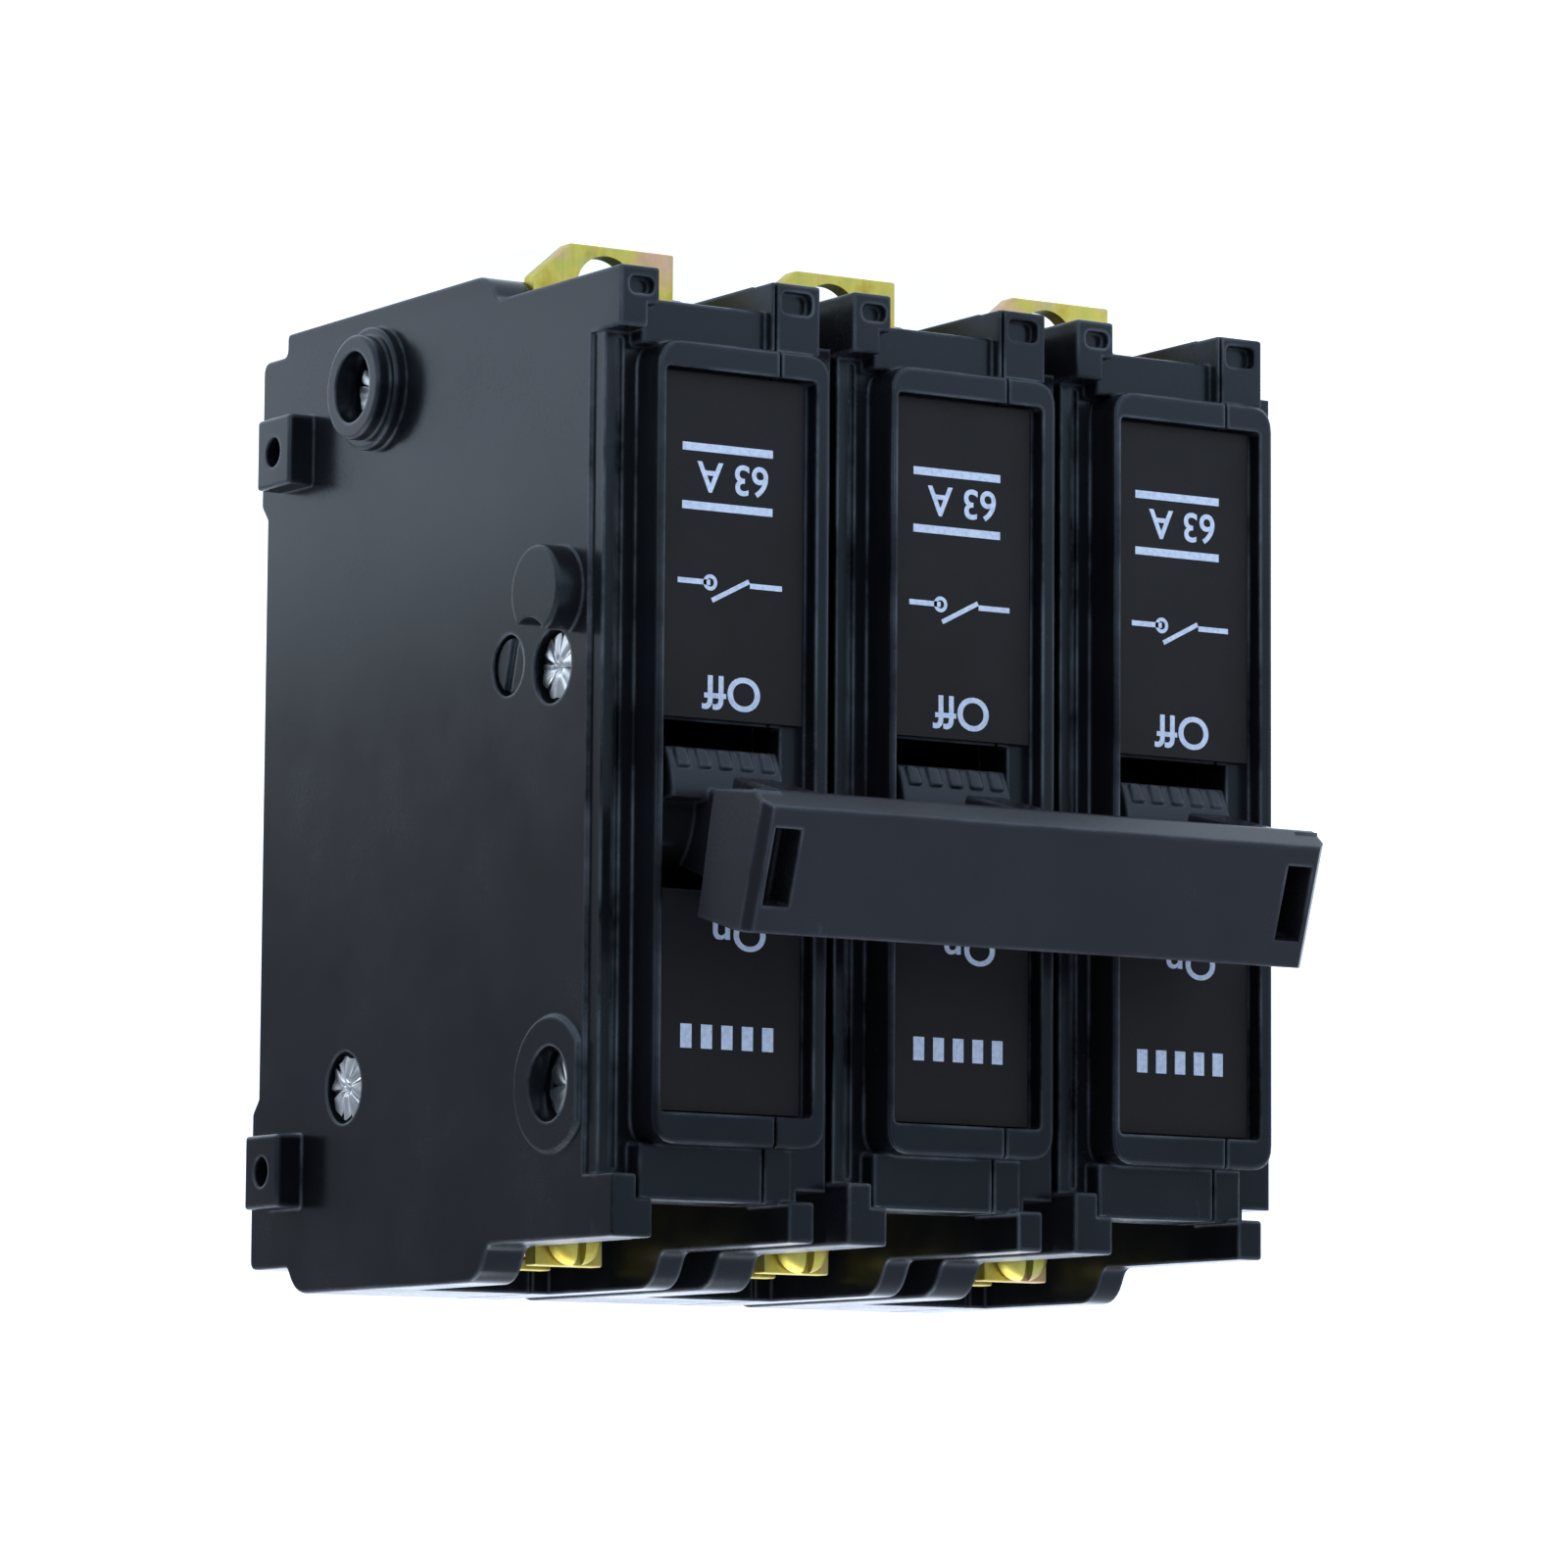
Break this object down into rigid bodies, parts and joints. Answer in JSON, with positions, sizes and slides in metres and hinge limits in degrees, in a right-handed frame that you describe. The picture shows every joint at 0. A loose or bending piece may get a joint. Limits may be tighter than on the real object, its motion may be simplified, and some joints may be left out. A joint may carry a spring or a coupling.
{
  "type": "molded case circuit breaker",
  "caption": "Plug-and-bolt molded case breaker: side-by-side pole cases, common handle bar, line tabs at the bottom, clamp-screw load lugs at the top.",
  "frame": {"origin": "middle of the rear face of the middle pole, between the feet", "axes": "+Y out of the rear face, +Z from the line end up to the load end, +X across the poles, to the right seen from the handles"},
  "size_m": [0.0788, 0.0856, 0.099],
  "materials": {
    "case": "satin black molded thermoset",
    "handle": "satin black molded nylon",
    "label": "matt black label with pale print",
    "chromate": "yellow chromate over zinc",
    "copper": "bare copper alloy",
    "steel": "plain sheet steel",
    "zinc": "bright zinc-plated rivet"
  },
  "bodies": {
    "case": {"base_A": "case", "cover_A": "case", "label_off_A": "label", "label_on_A": "label", "line_tab_A": "chromate", "bimetal_A": "steel", "magnet_yoke_A": "steel", "arc_chute_A": "steel", "load_lug_A": "chromate", "seal_plug_A": "case", "base_B": "case", "cover_B": "case", "label_off_B": "label", "label_on_B": "label", "line_tab_B": "chromate", "bimetal_B": "steel", "magnet_yoke_B": "steel", "arc_chute_B": "steel", "load_lug_B": "chromate", "seal_plug_B": "case", "base_C": "case", "cover_C": "case", "label_off_C": "label", "label_on_C": "label", "line_tab_C": "chromate", "bimetal_C": "steel", "magnet_yoke_C": "steel", "arc_chute_C": "steel", "load_lug_C": "chromate", "seal_plug_C": "case", "rivet_1": "zinc", "rivet_2": "zinc", "rivet_3": "zinc", "rivet_4": "zinc"},
    "handle": {"handle_A": "handle", "handle_B": "handle", "handle_C": "handle", "handle_tie": "handle"},
    "trip": {"trip_bar": "steel"},
    "arm_A": {"contact_arm_A": "copper", "main_spring_A": "steel"},
    "cradle_A": {"cradle_A": "steel"},
    "screw_A": {"load_screw_A": "chromate"},
    "clamp_A": {"wire_clamp_A": "chromate"},
    "arm_B": {"contact_arm_B": "copper", "main_spring_B": "steel"},
    "cradle_B": {"cradle_B": "steel"},
    "screw_B": {"load_screw_B": "chromate"},
    "clamp_B": {"wire_clamp_B": "chromate"},
    "arm_C": {"contact_arm_C": "copper", "main_spring_C": "steel"},
    "cradle_C": {"cradle_C": "steel"},
    "screw_C": {"load_screw_C": "chromate"},
    "clamp_C": {"wire_clamp_C": "chromate"}
  },
  "joints": [
    {"name": "handle_throw", "type": "hinge", "parent": "case", "child": "handle", "pos_m": [0, -0.0593, 0.0042], "axis": [1, 0, 0], "range_deg": [0, 36]},
    {"name": "trip_turn", "type": "hinge", "parent": "case", "child": "trip", "pos_m": [0, -0.0118, -0.0045], "axis": [1, 0, 0], "range_deg": [0, 10], "stiffness_Nm_per_rad": 0.02},
    {"name": "arm_turn_A", "type": "hinge", "parent": "case", "child": "arm_A", "pos_m": [0.0254, -0.0448, -0.018], "axis": [1, 0, 0], "range_deg": [0, 22]},
    {"name": "cradle_turn_A", "type": "hinge", "parent": "case", "child": "cradle_A", "pos_m": [0.0254, -0.0368, 0.022], "axis": [1, 0, 0], "range_deg": [-15, 0]},
    {"name": "screw_turn_A", "type": "hinge", "parent": "case", "child": "screw_A", "pos_m": [0.0269, -0.0422, 0.043], "axis": [0, 1, 0], "range_deg": [0, 1800]},
    {"name": "clamp_slide_A", "type": "slide", "parent": "case", "child": "clamp_A", "axis": [0, -1, 0], "range_m": [0, 0.005]},
    {"name": "arm_turn_B", "type": "hinge", "parent": "case", "child": "arm_B", "pos_m": [0, -0.0448, -0.018], "axis": [1, 0, 0], "range_deg": [0, 22]},
    {"name": "cradle_turn_B", "type": "hinge", "parent": "case", "child": "cradle_B", "pos_m": [0, -0.0368, 0.022], "axis": [1, 0, 0], "range_deg": [-15, 0]},
    {"name": "screw_turn_B", "type": "hinge", "parent": "case", "child": "screw_B", "pos_m": [0.0015, -0.0422, 0.043], "axis": [0, 1, 0], "range_deg": [0, 1800]},
    {"name": "clamp_slide_B", "type": "slide", "parent": "case", "child": "clamp_B", "axis": [0, -1, 0], "range_m": [0, 0.005]},
    {"name": "arm_turn_C", "type": "hinge", "parent": "case", "child": "arm_C", "pos_m": [-0.0254, -0.0448, -0.018], "axis": [1, 0, 0], "range_deg": [0, 22]},
    {"name": "cradle_turn_C", "type": "hinge", "parent": "case", "child": "cradle_C", "pos_m": [-0.0254, -0.0368, 0.022], "axis": [1, 0, 0], "range_deg": [-15, 0]},
    {"name": "screw_turn_C", "type": "hinge", "parent": "case", "child": "screw_C", "pos_m": [-0.0239, -0.0422, 0.043], "axis": [0, 1, 0], "range_deg": [0, 1800]},
    {"name": "clamp_slide_C", "type": "slide", "parent": "case", "child": "clamp_C", "axis": [0, -1, 0], "range_m": [0, 0.005]}
  ],
  "couplings": [
    {"joint": "arm_turn_A", "follows": "handle_throw", "ratio": 0.6111},
    {"joint": "cradle_turn_A", "follows": "trip_turn", "ratio": -1.5},
    {"joint": "screw_turn_A", "follows": "clamp_slide_A", "rad_per_m": 6283.2},
    {"joint": "arm_turn_B", "follows": "handle_throw", "ratio": 0.6111},
    {"joint": "cradle_turn_B", "follows": "trip_turn", "ratio": -1.5},
    {"joint": "screw_turn_B", "follows": "clamp_slide_B", "rad_per_m": 6283.2},
    {"joint": "arm_turn_C", "follows": "handle_throw", "ratio": 0.6111},
    {"joint": "cradle_turn_C", "follows": "trip_turn", "ratio": -1.5},
    {"joint": "screw_turn_C", "follows": "clamp_slide_C", "rad_per_m": 6283.2}
  ]
}
